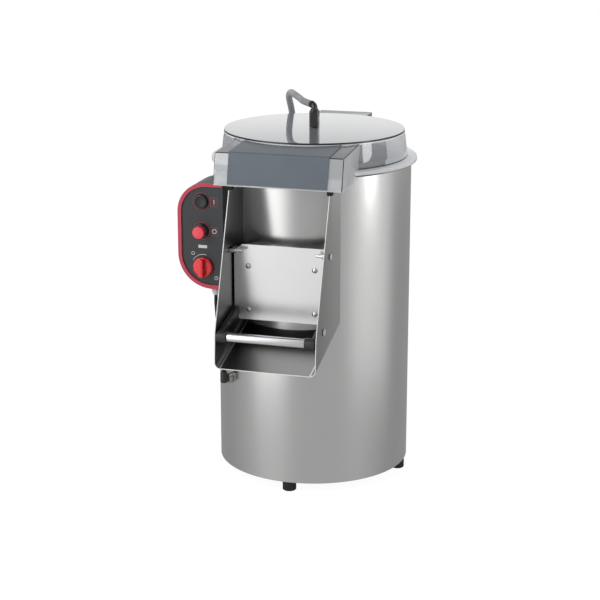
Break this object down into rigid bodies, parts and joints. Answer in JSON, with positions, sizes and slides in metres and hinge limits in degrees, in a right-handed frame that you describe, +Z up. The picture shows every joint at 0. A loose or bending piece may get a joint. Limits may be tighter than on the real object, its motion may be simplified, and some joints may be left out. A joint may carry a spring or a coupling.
{
  "type": "potato peeler machine",
  "caption": "Upright catering potato peeler: steel drum on rubber feet with a clear hinged lid, abrasive plate, discharge chute with a hinged door and lever handle, and a side control box.",
  "frame": {"origin": "middle of the machine's footprint, on the floor", "axes": "+Z up, front (chute and door) towards -Y, control box towards -X"},
  "size_m": [0.433, 0.635, 0.7759],
  "materials": {
    "satin_steel": "satin brushed",
    "bright_steel": "polished",
    "dark_steel": "dull",
    "aluminium": "bright drawn tube",
    "cast_aluminium": "as cast",
    "clear_polycarbonate": "clear moulded",
    "slate_sheet": "satin",
    "black_moulding": "satin",
    "black_gloss": "glossy",
    "black_rubber": "matt",
    "grey_plastic": "fine grain",
    "charcoal_panel": "satin foil",
    "red_trim": "satin",
    "red_moulding": "smooth",
    "abrasive_liner": "coarse grit in resin",
    "abrasive_plate": "coarse grit coating",
    "hose_grey": "smooth"
  },
  "bodies": {
    "frame": {"body_shell": "satin_steel", "abrasive_liner": "abrasive_liner", "chamber_floor": "satin_steel", "base_plate": "dark_steel", "foot_front": "black_rubber", "foot_left": "black_rubber", "foot_rear": "black_rubber", "foot_right": "black_rubber", "outlet_neck": "satin_steel", "discharge_chute": "satin_steel", "door_hinge_pin_left": "bright_steel", "door_hinge_pin_right": "bright_steel", "handle_pivot_left": "bright_steel", "handle_pivot_right": "bright_steel", "hood_bumper_left": "black_rubber", "hood_bumper_right": "black_rubber", "lid_seal": "black_rubber", "lid_hinge_bracket": "satin_steel", "lid_hinge_pin": "bright_steel", "water_valve": "black_moulding", "water_hose": "hose_grey", "drain_pipe": "grey_plastic", "control_box": "grey_plastic", "panel_face": "charcoal_panel", "panel_trim": "red_trim", "start_bezel": "black_moulding", "stop_bezel": "black_moulding", "box_gland": "grey_plastic", "body_gland": "black_moulding", "motor_lead": "black_rubber", "bearing_housing": "cast_aluminium", "bearing_upper": "satin_steel", "bearing_lower": "satin_steel", "shaft_seal": "black_rubber", "drive_belt": "black_rubber", "motor": "cast_aluminium"},
    "lid": {"lid_cover": "clear_polycarbonate", "hood_panel": "slate_sheet", "water_fitting": "black_gloss", "spray_nozzle": "black_moulding"},
    "door": {"door_plate": "satin_steel", "door_gasket": "black_rubber", "door_screw_1": "bright_steel", "door_screw_2": "bright_steel", "door_screw_3": "bright_steel", "door_screw_4": "bright_steel"},
    "handle": {"grip_tube": "aluminium", "handle_arm_left": "black_moulding", "handle_arm_right": "black_moulding"},
    "start_button": {"start_button": "black_moulding"},
    "stop_button": {"stop_button": "red_moulding"},
    "timer_knob": {"timer_knob": "red_moulding"},
    "plate_drive": {"peeling_plate": "abrasive_plate", "plate_nut": "satin_steel", "drive_shaft": "satin_steel", "driven_pulley": "cast_aluminium"},
    "motor_rotor": {"motor_shaft": "satin_steel", "motor_pulley": "cast_aluminium"}
  },
  "joints": [
    {"name": "lid_hinge", "type": "hinge", "parent": "frame", "child": "lid", "pos_m": [0.0075, 0.2835, 0.69], "axis": [-1, 0, 0], "range_deg": [0, 90], "deforming": ["water_hose"]},
    {"name": "handle_pivot", "type": "hinge", "parent": "frame", "child": "handle", "pos_m": [0.0075, -0.2615, 0.375], "axis": [-1, 0, 0], "range_deg": [0, 40]},
    {"name": "door_hinge", "type": "hinge", "parent": "frame", "child": "door", "pos_m": [0.0075, -0.2165, 0.512], "axis": [-1, 0, 0], "range_deg": [0, 33]},
    {"name": "start_button_slide", "type": "slide", "parent": "frame", "child": "start_button", "axis": [0, 1, 0], "range_m": [0, 0.004], "stiffness_N_per_m": 300, "springref_m": -0.003},
    {"name": "stop_button_slide", "type": "slide", "parent": "frame", "child": "stop_button", "axis": [0, 1, 0], "range_m": [0, 0.004], "stiffness_N_per_m": 300, "springref_m": -0.003},
    {"name": "timer_turn", "type": "hinge", "parent": "frame", "child": "timer_knob", "pos_m": [-0.1645, -0.1667, 0.461], "axis": [0, 1, 0], "range_deg": [0, 300]},
    {"name": "plate_spin", "type": "hinge", "parent": "frame", "child": "plate_drive", "pos_m": [0.0075, 0.0335, 0.36], "axis": [0, 0, 1], "continuous": true},
    {"name": "motor_spin", "type": "hinge", "parent": "frame", "child": "motor_rotor", "pos_m": [0.0075, -0.0765, 0.235], "axis": [0, 0, 1], "continuous": true}
  ],
  "couplings": [
    {"joint": "door_hinge", "follows": "handle_pivot", "ratio": 0.825},
    {"joint": "motor_spin", "follows": "plate_spin", "ratio": 3.075}
  ]
}
